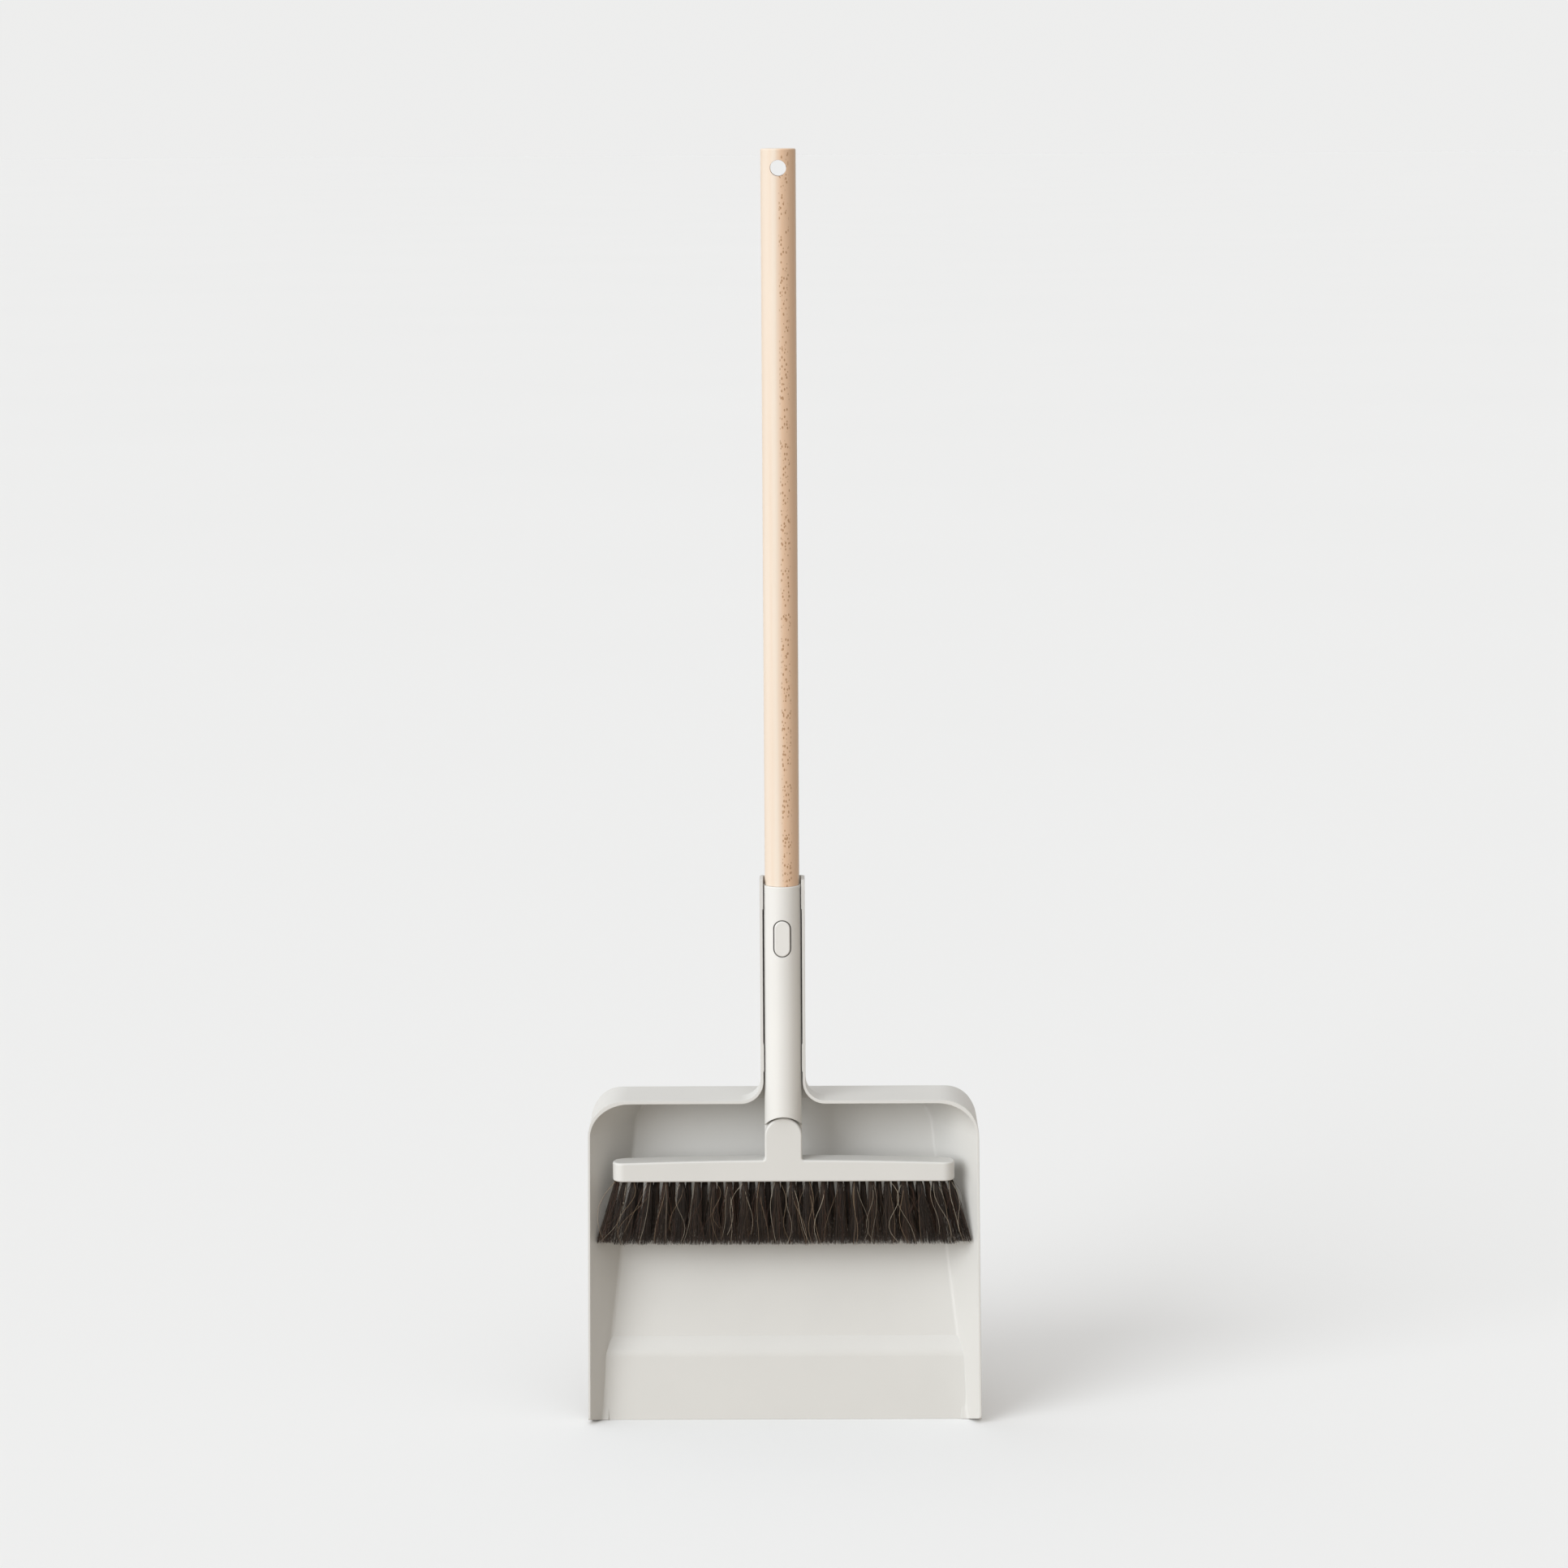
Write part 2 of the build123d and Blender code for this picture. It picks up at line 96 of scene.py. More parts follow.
LOW_PIECES_PAINTED_SHADE = ("dustpan", "brush_head")
STEM_PLASTIC = ("stem", "release_button", "pivot_cap")
GREY_PLASTIC = ("pole_adapter", "friction_disc")
STEEL = ("pole_pin", "pivot_washer", "pivot_screw")
ROWS = (("front", -1), ("middle", 0), ("rear", 1))
HAIR_COLOURS = ("black", "brown", "russet", "tan", "pale")
BLACK, BROWN, RUSSET, TAN, PALE = range(len(HAIR_COLOURS))
STRAY_COLOURS = (BROWN, RUSSET, TAN, PALE)
STRAY_SHARES = (4, 4, 2, 3)


class PlasticSettings(bpy.types.PropertyGroup):
    """Off-white moulded plastic of the pan, the stem and the brush bar; the pan and the bar are set darker
    than the stem as painted shade, for light that falls off towards the floor
    """

    # The pan colour is darker than the stem colour as painted shade: it stands in for light falling off
    # towards the floor.
    pan: FloatVectorProperty(
        name="Pan Colour", description="Colour of the pan and the brush bar", subtype="COLOR",
        min=0, max=1, default=(0.664, 0.659, 0.637),
    )
    stem: FloatVectorProperty(
        name="Stem Colour", description="Colour of the stem and its button", subtype="COLOR",
        min=0, max=1, default=(0.744, 0.738, 0.715),
    )
    flow: FloatProperty(
        name="Flow Shade", description="Share of the colour that is left where the plastic flowed last",
        subtype="FACTOR", min=0, max=1, default=0.965,
    )
    roughness: FloatProperty(
        name="Roughness", description="Satin of the moulded surface", subtype="FACTOR",
        min=0, max=1, default=0.46,
    )
    grain_size: FloatProperty(
        name="Grain Size", description="Width of the fine grain left by the mould", unit="LENGTH",
        min=0.0001, default=0.0007,
    )
    grain_depth: FloatProperty(
        name="Grain Depth", description="Depth of the fine grain", unit="LENGTH",
        min=0, default=0.00004,
    )
    edge_radius: FloatProperty(
        name="Edge Radius", description="Softness of the moulded edges", unit="LENGTH",
        min=0, default=0.0006,
    )
    grey: FloatVectorProperty(
        name="Insert Grey", description="Colour of the hidden plastic inserts", subtype="COLOR",
        min=0, max=1, default=(0.34, 0.33, 0.31),
    )


class PoleSettings(bpy.types.PropertyGroup):
    """Bare beech of the pole"""

    light: FloatVectorProperty(
        name="Light Wood", description="Palest wood of the pole", subtype="COLOR",
        min=0, max=1, default=(0.762, 0.662, 0.560),
    )
    dark: FloatVectorProperty(
        name="Dark Wood", description="Darker bands along the pole", subtype="COLOR",
        min=0, max=1, default=(0.735, 0.606, 0.488),
    )
    # Warmer wood figure, and partly painted shade where it covers the pole's shaded right half.
    flat_sawn_and_shade: FloatVectorProperty(
        name="Flat-sawn Wood", description="Warmer wood where the rings run flat", subtype="COLOR",
        min=0, max=1, default=(0.760, 0.518, 0.348),
    )
    fleck: FloatVectorProperty(
        name="Flecks", description="Short brown flecks in the wood", subtype="COLOR",
        min=0, max=1, default=(0.390, 0.215, 0.105),
    )
    band_width: FloatProperty(
        name="Band Width", description="Distance between the bands", unit="LENGTH",
        min=0.0005, default=0.0042,
    )
    fleck_width: FloatProperty(
        name="Fleck Spacing", description="Distance between flecks across the grain", unit="LENGTH",
        min=0.0003, default=0.0015,
    )
    roughness: FloatProperty(
        name="Roughness", description="Sanded surface without varnish", subtype="FACTOR",
        min=0, max=1, default=0.58,
    )


class BristleSettings(bpy.types.PropertyGroup):
    """Tufts of dark hair under the brush bar"""

    tuft_pitch: FloatProperty(
        name="Tuft Pitch", description="Distance between the tufts of a row", unit="LENGTH",
        min=0.001, default=0.0102,
    )
    tuft_count: IntProperty(
        name="Tufts", description="Tufts in the middle row, without those in the round ends",
        min=5, default=21,
    )
    row_step: FloatProperty(
        name="Row Step", description="Distance between the rows", unit="LENGTH",
        min=0.001, default=0.0042,
    )
    stagger: FloatProperty(
        name="Stagger", description="How far the outer rows stand from the middle of the gaps", unit="LENGTH",
        default=0.0005,
    )
    root_radius: FloatProperty(
        name="Root Radius", description="Radius of a tuft where it leaves the bar", unit="LENGTH",
        min=0.0002, default=0.00155,
    )
    tip_radius: FloatProperty(
        name="Tip Radius", description="Radius of a tuft at its tips", unit="LENGTH",
        min=0.0002, default=0.0058,
    )
    hairs: IntProperty(
        name="Hairs", description="Hairs in each tuft", min=3, default=150,
    )
    thickness: FloatProperty(
        name="Hair Thickness", description="Thickness of a hair at its root", unit="LENGTH",
        min=0.00005, default=0.00026,
    )
    fan: FloatProperty(
        name="Fan", description="How far a tuft at the very end of the bar leans outwards", unit="LENGTH",
        default=0.0128,
    )
    splay: FloatProperty(
        name="Splay", description="How far the outer rows lean to the front and back", unit="LENGTH",
        default=0.0012,
    )
    reach: FloatProperty(
        name="Reach", description="Largest distance of a tip from the middle of the bar", unit="LENGTH",
        min=0.01, default=0.1210,
    )
    rear_fan: FloatProperty(
        name="Rear Fan", description="Fan of the rear row, which stands where the pan is narrower",
        unit="LENGTH", default=0.0050,
    )
    rear_reach: FloatProperty(
        name="Rear Reach", description="Largest distance of the rear row's tips from the middle",
        unit="LENGTH", min=0.01, default=0.1060,
    )
    ragged: FloatProperty(
        name="Ragged Tips", description="Unevenness of the trimmed tips", unit="LENGTH",
        min=0, default=0.0004,
    )
    strays: IntProperty(
        name="Stray Hairs", description="Loose hairs on each tuft that can be seen", min=0, default=5,
    )
    stray_reach: FloatProperty(
        name="Stray Reach", description="How far the tips of loose hairs wander sideways", unit="LENGTH",
        min=0, default=0.0054,
    )
    pressed: FloatProperty(
        name="Pressed Ends", description="Width left to the end tufts when the bar swivels against the pan",
        subtype="FACTOR", min=0.05, max=1, default=0.25,
    )
    seed: IntProperty(name="Seed", description="Seed of the hair's irregularity", default=7)
    black: FloatVectorProperty(
        name="Black Hair", description="Darkest and most common hair", subtype="COLOR",
        min=0, max=1, default=(0.034, 0.023, 0.016),
    )
    brown: FloatVectorProperty(
        name="Brown Hair", description="Dark brown hair", subtype="COLOR",
        min=0, max=1, default=(0.083, 0.050, 0.029),
    )
    russet: FloatVectorProperty(
        name="Russet Hair", description="Reddish brown hair", subtype="COLOR",
        min=0, max=1, default=(0.110, 0.052, 0.032),
    )
    tan: FloatVectorProperty(
        name="Tan Hair", description="Pale tan stray hair", subtype="COLOR",
        min=0, max=1, default=(0.46, 0.33, 0.21),
    )
    pale: FloatVectorProperty(
        name="Pale Hair", description="Nearly white stray hair", subtype="COLOR",
        min=0, max=1, default=(0.74, 0.64, 0.50),
    )


class SpringSettings(bpy.types.PropertyGroup):
    """Steel coil behind the release button"""

    turns: IntProperty(name="Turns", description="Turns of the coil", min=1, default=5)
    wire: FloatProperty(
        name="Wire", description="Thickness of the spring wire", unit="LENGTH", min=0.0001, default=0.0007,
    )
    travel: FloatProperty(
        name="Travel", description="How far the button pushes the coil together", unit="LENGTH",
        min=0, default=0.003,
    )
    steel: FloatVectorProperty(
        name="Steel", description="Colour of the steel fittings", subtype="COLOR",
        min=0, max=1, default=(0.56, 0.56, 0.57),
    )


class StageSettings(bpy.types.PropertyGroup):
    """Pale studio floor, soft light and the camera"""

    floor: FloatVectorProperty(
        name="Floor", description="Colour of the studio floor", subtype="COLOR",
        min=0, max=1, default=(0.890, 0.898, 0.905),
    )
    backdrop: FloatVectorProperty(
        name="Backdrop", description="Colour seen beyond the floor", subtype="COLOR",
        min=0, max=1, default=(0.852, 0.852, 0.847),
    )
    bounce: FloatVectorProperty(
        name="Floor Bounce", description="Colour of the light that the floor throws back at the set",
        subtype="COLOR", min=0, max=1, default=(0.46, 0.40, 0.33),
    )
    sky: FloatProperty(
        name="Sky Light", description="Strength of the even light from all round", min=0, default=0.40,
    )
    glow: FloatProperty(
        name="Sky Glow", description="Strength that the sky gains overhead", min=0, default=0.80,
    )
    key: FloatProperty(
        name="Key Light", description="Strength of the soft light from the front left", min=0, default=2.08,
    )
    key_side: FloatProperty(
        name="Key Side", description="How far the key light stands to the left", subtype="ANGLE",
        default=math.radians(44),
    )
    key_height: FloatProperty(
        name="Key Height", description="Height of the key light above the horizon", subtype="ANGLE",
        default=math.radians(19),
    )
    key_softness: FloatProperty(
        name="Key Softness", description="Apparent width of the key light", subtype="ANGLE",
        min=0, default=math.radians(40),
    )
    azimuth: FloatProperty(
        name="Camera Side", description="How far the camera stands to the right", subtype="ANGLE",
        default=math.radians(0.4),
    )
    elevation: FloatProperty(
        name="Camera Height", description="Camera's angle above the horizon", subtype="ANGLE",
        default=math.radians(8.925),
    )
    roll: FloatProperty(
        name="Camera Roll", description="Small tilt of the picture", subtype="ANGLE",
        default=math.radians(-0.315),
    )
    distance: FloatProperty(
        name="Camera Distance", description="Distance from the camera to the set", unit="LENGTH",
        min=0.1, default=2.8,
    )
    lens: FloatProperty(
        name="Lens", description="Focal length in millimetres on a 36 mm sensor", min=1, default=100.93,
    )


def add_node(tree, kind, **values):
    """Add a shader node and set its inputs or its own options by name."""
    node = tree.nodes.new(kind)
    for key, value in values.items():
        name = key.replace("_", " ").title()
        if name in node.inputs:
            node.inputs[name].default_value = value
        else:
            setattr(node, key, value)
    return node


def new_finish(name):
    """A node material with its shader, and the object's own coordinates in metres."""
    material = bpy.data.materials.new(name)
    material.use_nodes = True
    tree = material.node_tree
    shader = tree.nodes["Principled BSDF"]
    place = add_node(tree, "ShaderNodeTexCoord").outputs["Object"]
    return material, tree, shader, place


def opaque(colour):
    return (*colour, 1.0)


def between(tree, factor, first, second):
    """Mix two colours by a factor that varies over the surface."""
    mix = add_node(tree, "ShaderNodeMix", data_type="RGBA")
    tree.links.new(factor, mix.inputs["Factor"])
    for socket, value in ((mix.inputs[6], first), (mix.inputs[7], second)):
        if isinstance(value, bpy.types.NodeSocket):
            tree.links.new(value, socket)
        else:
            socket.default_value = opaque(value)
    return mix.outputs[2]


def spread(tree, value, low, high, start=0.0, end=1.0):
    """Stretch a value from one range to another."""
    node = add_node(tree, "ShaderNodeMapRange")
    node.inputs["From Min"].default_value = start
    node.inputs["From Max"].default_value = end
    node.inputs["To Min"].default_value = low
    node.inputs["To Max"].default_value = high
    tree.links.new(value, node.inputs["Value"])
    return node.outputs["Result"]


def math_node(tree, operation, first, second):
    node = add_node(tree, "ShaderNodeMath", operation=operation)
    for socket, value in zip(node.inputs, (first, second)):
        if isinstance(value, bpy.types.NodeSocket):
            tree.links.new(value, socket)
        else:
            socket.default_value = value
    return node.outputs[0]


def noise(tree, place, scale, detail=2.0, roughness=0.5):
    node = add_node(tree, "ShaderNodeTexNoise", scale=scale, detail=detail, roughness=roughness)
    tree.links.new(place, node.inputs["Vector"])
    return node.outputs["Fac"]


def stretched(tree, place, scale, location=(0, 0, 0)):
    node = add_node(tree, "ShaderNodeMapping")
    node.inputs["Scale"].default_value = scale
    node.inputs["Location"].default_value = location
    tree.links.new(place, node.inputs["Vector"])
    return node.outputs["Vector"]


def relief(tree, shader, height, depth, strength, edge_radius=0.0):
    """Bump on the shader's normal, with softened edges where a radius is given."""
    bump = add_node(tree, "ShaderNodeBump", strength=strength, distance=depth)
    tree.links.new(height, bump.inputs["Height"])
    if edge_radius:
        bevel = add_node(tree, "ShaderNodeBevel", samples=6, radius=edge_radius)
        tree.links.new(bevel.outputs["Normal"], bump.inputs["Normal"])
    tree.links.new(bump.outputs["Normal"], shader.inputs["Normal"])


def moulded_plastic(name, colour, settings):
    """Satin plastic: faint flow tones, fine mould grain and soft edges."""
    material, tree, shader, place = new_finish(name)
    shade = tuple(settings.flow * part for part in colour)
    flow = noise(tree, place, 16.0, detail=3.0)
    tone = spread(tree, flow, 0.0, 1.0, start=0.3, end=0.7)
    tree.links.new(between(tree, tone, colour, shade), shader.inputs["Base Color"])
    smear = noise(tree, place, 55.0, detail=4.0)
    rough = spread(tree, smear, settings.roughness - 0.06, settings.roughness + 0.06)
    tree.links.new(rough, shader.inputs["Roughness"])
    grain = noise(tree, place, 1 / settings.grain_size, detail=3.0, roughness=0.6)
    relief(tree, shader, grain, settings.grain_depth, 0.35, settings.edge_radius)
    return material


def towards_side(tree, centred, degrees):
    """Distance from the pole's axis towards a side, turned from the front to the right, or away from it."""
    angle = math.radians(degrees)
    side = add_node(tree, "ShaderNodeVectorMath", operation="DOT_PRODUCT")
    side.inputs[1].default_value = (math.sin(angle), -math.cos(angle), 0)
    tree.links.new(centred, side.inputs[0])
    return math_node(tree, "ABSOLUTE", side.outputs["Value"], 0.0)


def beech_flecks(tree, centred, settings):
    """One on the flecks, which stand in loose groups in a strip along the flat-sawn sides."""
    cell = add_node(tree, "ShaderNodeTexVoronoi", scale=1 / settings.fleck_width, randomness=1.0)
    tree.links.new(stretched(tree, centred, (1, 1, 0.6)), cell.inputs["Vector"])
    pick = add_node(tree, "ShaderNodeSeparateColor")
    tree.links.new(cell.outputs["Color"], pick.inputs["Color"])
    mark = spread(tree, cell.outputs["Distance"], 1.0, 0.0, start=0.28, end=0.42)
    crowd = noise(tree, stretched(tree, centred, (0.3, 0.3, 1)), 130.0, detail=2.0)
    share = spread(tree, crowd, 0.3, 1.0, start=0.38, end=0.62)
    some = math_node(tree, "LESS_THAN", pick.outputs["Red"], share)
    strip = towards_side(tree, centred, FLECK_SIDE)
    zone = spread(tree, strip, 0.0, 1.0, start=0.945 * POLE_RADIUS, end=0.970 * POLE_RADIUS)
    return math_node(tree, "MULTIPLY", math_node(tree, "MULTIPLY", mark, some), zone)


def bare_beech(settings):
    """Pale bands along the pole, and two flat-sawn sides that are warmer and carry short flecks; one warmer
    side is turned to the right, where its tone also paints the shade of the pole's right half.
    """
    material, tree, shader, place = new_finish("bare_beech")
    centred = stretched(tree, place, (1, 1, 1), (-POLE_MIDDLE.x, -POLE_MIDDLE.y, 0))
    along = stretched(tree, centred, (1, 1, 0.035))
    wander = noise(tree, along, 1 / settings.band_width, detail=5.0, roughness=0.62)
    band = add_node(tree, "ShaderNodeTexWave", bands_direction="X", wave_profile="SIN")
    band.inputs["Scale"].default_value = 0.314 / settings.band_width
    band.inputs["Distortion"].default_value = 5.0
    band.inputs["Detail"].default_value = 3.0
    band.inputs["Detail Scale"].default_value = 0.6
    tree.links.new(along, band.inputs["Vector"])
    streak = math_node(tree, "MULTIPLY", wander, spread(tree, band.outputs["Fac"], 0.55, 1.0))
    tone = spread(tree, streak, 0.0, 1.0, start=0.22, end=0.72)
    wood = between(tree, tone, settings.light, settings.dark)
    # Warmer flat-sawn tone on the right and the back left: partly wood figure, partly painted shade on the
    # pole's right half.
    side = towards_side(tree, centred, FLAT_SAWN_SHADE_SIDE)
    flat = spread(tree, side, 0.0, 0.9, start=0.70 * POLE_RADIUS, end=0.90 * POLE_RADIUS)
    wood = between(tree, flat, wood, settings.flat_sawn_and_shade)
    fine = noise(tree, stretched(tree, centred, (1, 1, 0.06)), 2600.0, detail=2.0)
    wood = between(tree, spread(tree, fine, 0.0, 0.28, start=0.52, end=0.75), wood, settings.dark)
    fleck = math_node(tree, "MULTIPLY", beech_flecks(tree, centred, settings), 0.85)
    wood = between(tree, fleck, wood, settings.fleck)
    tree.links.new(wood, shader.inputs["Base Color"])
    rough = spread(tree, wander, settings.roughness - 0.08, settings.roughness + 0.08)
    tree.links.new(rough, shader.inputs["Roughness"])
    relief(tree, shader, math_node(tree, "ADD", streak, fine), 0.00008, 0.3, 0.0005)
    return material


def drawn_steel(colour):
    """Plain steel with fine drawing lines and a little uneven gloss."""
    material, tree, shader, place = new_finish("drawn_steel")
    shader.inputs["Metallic"].default_value = 1.0
    line = noise(tree, stretched(tree, place, (1, 0.08, 1)), 3000.0, detail=3.0)
    worn = tuple(0.8 * part for part in colour)
    tree.links.new(between(tree, line, colour, worn), shader.inputs["Base Color"])
    tree.links.new(spread(tree, line, 0.24, 0.42), shader.inputs["Roughness"])
    relief(tree, shader, line, 0.00002, 0.25, 0.0002)
    return material


def hair_finish(name, colour):
    """Hair with uneven colour and gloss along its length."""
    material, tree, shader, place = new_finish(name)
    along = noise(tree, stretched(tree, place, (1, 1, 0.25)), 420.0, detail=3.0)
    dull = tuple(0.55 * part for part in colour)
    tree.links.new(between(tree, along, dull, colour), shader.inputs["Base Color"])
    tree.links.new(spread(tree, along, 0.36, 0.56), shader.inputs["Roughness"])
    shader.inputs["Specular IOR Level"].default_value = 0.4
    return material


def seen_rays(tree):
    """One where a ray shows the background itself, and zero where it only gathers light."""
    rays = tree.nodes.new("ShaderNodeLightPath")
    seen = math_node(tree, "MAXIMUM", rays.outputs["Is Camera Ray"], rays.outputs["Is Glossy Ray"])
    return math_node(tree, "MAXIMUM", seen, rays.outputs["Is Transmission Ray"])


def studio_floor(colour, bounce):
    """Matt floor with faint unevenness, pale where it is seen and warmer where it lights the set."""
    material, tree, shader, place = new_finish("studio_floor")
    cloud = noise(tree, place, 0.9, detail=2.0)
    shade = tuple(0.985 * part for part in colour)
    pale = between(tree, cloud, colour, shade)
    tree.links.new(between(tree, seen_rays(tree), bounce, pale), shader.inputs["Base Color"])
    shader.inputs["Roughness"].default_value = 0.9
    shader.inputs["Specular IOR Level"].default_value = 0.1
    return material


def dress(names, material):
    """Give CAD nodes their finish."""
    for name in names:
        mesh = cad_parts[name].data
        mesh.materials.clear()
        mesh.materials.append(material)


def smooth_mesh(name, verts, faces, materials):
    """A smooth mesh with its finishes."""
    mesh = bpy.data.meshes.new(name)
    mesh.from_pydata(verts, [], faces)
    for material in materials:
        mesh.materials.append(material)
    mesh.shade_smooth()
    mesh.update()
    return mesh


def new_piece(name, mesh, body):
    """Put a finished mesh in the scene as a piece that rides on a body."""
    piece = bpy.data.objects.new(name, mesh)
    bpy.context.scene.collection.objects.link(piece)
    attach(piece, body)
    return piece


def tube(verts, faces, path, radii, sides, turn=0.0):
    """Append a closed tube along a path to lists of vertices and faces."""
    first = len(verts)
    for step, point in enumerate(path):
        ahead = path[min(step + 1, len(path) - 1)] - path[max(step - 1, 0)]
        across = ahead.cross(Vector((0, 1, 0)) if abs(ahead.normalized().y) < 0.9 else Vector((0, 0, 1)))
        across.normalize()
        other = ahead.cross(across).normalized()
        for side in range(sides):
            angle = turn + 2 * math.pi * side / sides
            verts.append(point + radii[step] * (math.cos(angle) * across + math.sin(angle) * other))
    for step in range(len(path) - 1):
        low = first + step * sides
        for side in range(sides):
            after = (side + 1) % sides
            faces.append((low + side, low + after, low + sides + after, low + sides + side))
    last = first + (len(path) - 1) * sides
    faces.append(tuple(range(first + sides - 1, first - 1, -1)))
    faces.append(tuple(range(last, last + sides)))


def hair_path(root, lean, flare, bow, wave, rings):
    """A hair that leans evenly, leaves its tuft ever faster, bows to one side and waves."""
    path = []
    for ring in range(rings):
        share = ring / (rings - 1)
        bend = math.sin(math.pi * share) * bow + math.sin(2 * math.pi * share) * wave
        path.append(root + share * lean + share ** 1.4 * flare + bend)
    return path


def within(value, limit):
    """Keep a value between a limit and its negative."""
    return max(-limit, min(limit, value))


def tuft_places(row, settings):
    """Places of a row's tufts along the bar. The rows are staggered by about half a pitch."""
    count = settings.tuft_count if row == 0 else settings.tuft_count - 1
    aside = abs(row) * settings.stagger
    places = [(tuft - (count - 1) / 2) * settings.tuft_pitch + aside for tuft in range(count)]
    if row == 0:
        # The middle row has one more tuft in each round end of the bar.
        end = places[-1] + settings.tuft_pitch / 2
        places = [-end] + places + [end]
    return places


def row_reach(row, settings):
    """Largest distance of a row's tips from the middle of the bar."""
    return settings.rear_reach if row > 0 else settings.reach


def tuft_hair(chance, row, x, tip_x, dark, red, settings):
    """Path, thickness and colour of one hair inside a tuft."""
    angle = chance.uniform(0, 2 * math.pi)
    out = math.sqrt(chance.random())
    across, deep = out * math.cos(angle), out * math.sin(angle)
    row_y = POLE_MIDDLE.y + row * settings.row_step
    root_z = BAR_LOW.z + ROOT_DEPTH
    root = Vector((x + settings.root_radius * across, row_y + settings.root_radius * deep, root_z))
    length = root_z - TIP_Z - abs(chance.gauss(0, settings.ragged))
    if chance.random() < SHORT_SHARE:
        length -= chance.uniform(0.001, 0.005)
    wider = settings.tip_radius - settings.root_radius
    start = root.x + tip_x - x
    end = within(start + wider * across + chance.gauss(0, 0.0006), row_reach(row, settings))
    flare = Vector((end - start, 0.4 * wider * deep + chance.gauss(0, 0.0003), 0))
    lean = Vector((tip_x - x, row * settings.splay, -length))
    bow = Vector((chance.gauss(0, 0.0005), chance.gauss(0, 0.0002), 0))
    wave = Vector((chance.gauss(0, 0.0002), 0, 0))
    draw = chance.random()
    kind = BLACK if draw < dark else RUSSET if draw > 1 - red else BROWN
    thick = settings.thickness * chance.uniform(0.75, 1.1)
    return hair_path(root, lean, flare, bow, wave, TUFT_RINGS), thick, kind


def stray_hair(chance, row, x, tip_x, settings):
    """Path, thickness and colour of one loose hair that comes out of a tuft and wanders over it."""
    face = row or -1
    row_y = POLE_MIDDLE.y + row * settings.row_step
    root_z = BAR_LOW.z + ROOT_DEPTH
    lift = chance.uniform(0.0010, 0.0030)
    depth = settings.root_radius - lift * chance.uniform(0.1, 0.75)
    root = Vector((x + settings.root_radius * chance.uniform(-0.8, 0.8), row_y + face * depth, root_z))
    limit = row_reach(row, settings)
    end = within(root.x + tip_x - x + chance.gauss(0, settings.stray_reach), limit)
    length = (root_z - TIP_Z) * min(1, chance.uniform(0.7, 1.3))
    swell = settings.splay + 0.4 * (settings.tip_radius - settings.root_radius)
    lean = Vector((end - root.x, face * (swell + lift), -length))
    aside = within(root.x + chance.gauss(0, 0.5 * settings.stray_reach), limit - 0.004) - root.x
    bow = Vector((aside, 0, 0))
    wave = Vector((chance.gauss(0, 0.45 * settings.stray_reach), 0, 0))
    kind = chance.choices(STRAY_COLOURS, STRAY_SHARES)[0]
    thick = settings.thickness * chance.uniform(0.6, 1.0)
    return hair_path(root, lean, Vector(), bow, wave, STRAY_RINGS), thick, kind


def hair_mesh(name, row, places, finishes, settings):
    """Tufts of single tapered hairs at places along a row, as one mesh."""
    chance = random.Random(f"{settings.seed} {name}")
    verts, faces, kinds = [], [], []
    fan = settings.rear_fan if row > 0 else settings.fan
    for x in places:
        at_end = abs(x) > BAR_HALF - settings.tuft_pitch
        tip_x = x + fan * (x / BAR_HALF) ** 3 + chance.gauss(0, 0.0003)
        dark = chance.uniform(0.55, 0.92)
        red = chance.choice((0.02, 0.03, 0.05, 0.12))
        tuft = [tuft_hair(chance, row, x, tip_x, dark, red, settings) for hair in range(settings.hairs)]
        if row or at_end:
            tuft += [stray_hair(chance, row, x, tip_x, settings) for hair in range(settings.strays)]
        for path, thick, kind in tuft:
            last = len(path) - 1
            radii = [thick / 2 * (1 - 0.45 * ring / last) for ring in range(len(path))]
            tube(verts, faces, path, radii, HAIR_SIDES, chance.uniform(0, 2 * math.pi))
            kinds.extend([kind] * (len(faces) - len(kinds)))
    mesh = smooth_mesh(name, verts, faces, finishes)
    mesh.polygons.foreach_set("material_index", kinds)
    mesh.update()
    return mesh


def coil_path(low, high, settings):
    """Middle line of the spring's wire inside its box."""
    middle = (low + high) / 2
    radius = (high.x - low.x - settings.wire) / 2
    start, end = low.y + settings.wire / 2, high.y - settings.wire / 2
    steps = STEPS_A_TURN * settings.turns
    path = []
    for step in range(steps + 1):
        share = step / steps
        angle = 2 * math.pi * settings.turns * share
        across = middle.x + radius * math.cos(angle)
        up = middle.z + radius * math.sin(angle)
        path.append(Vector((across, start + (end - start) * share, up)))
    return path


def bed_outline():
    """Corners of the bristle bed's underside, with round ends that follow the bar."""
    corner = BAR_CORNER - BED_MARGIN
    half = BAR_HALF - BED_MARGIN
    deep = (BAR_HIGH.y - BAR_LOW.y) / 2 - BED_MARGIN
    outline = []
    for side, end, start in ((1, 1, 0), (-1, 1, 90), (-1, -1, 180), (1, -1, 270)):
        for step in range(CORNER_STEPS + 1):
            angle = math.radians(start + 90 * step / CORNER_STEPS)
            x = side * (half - corner) + corner * math.cos(angle)
            y = POLE_MIDDLE.y + end * (deep - corner) + corner * math.sin(angle)
            outline.append((x, y, BAR_LOW.z))
    return outline


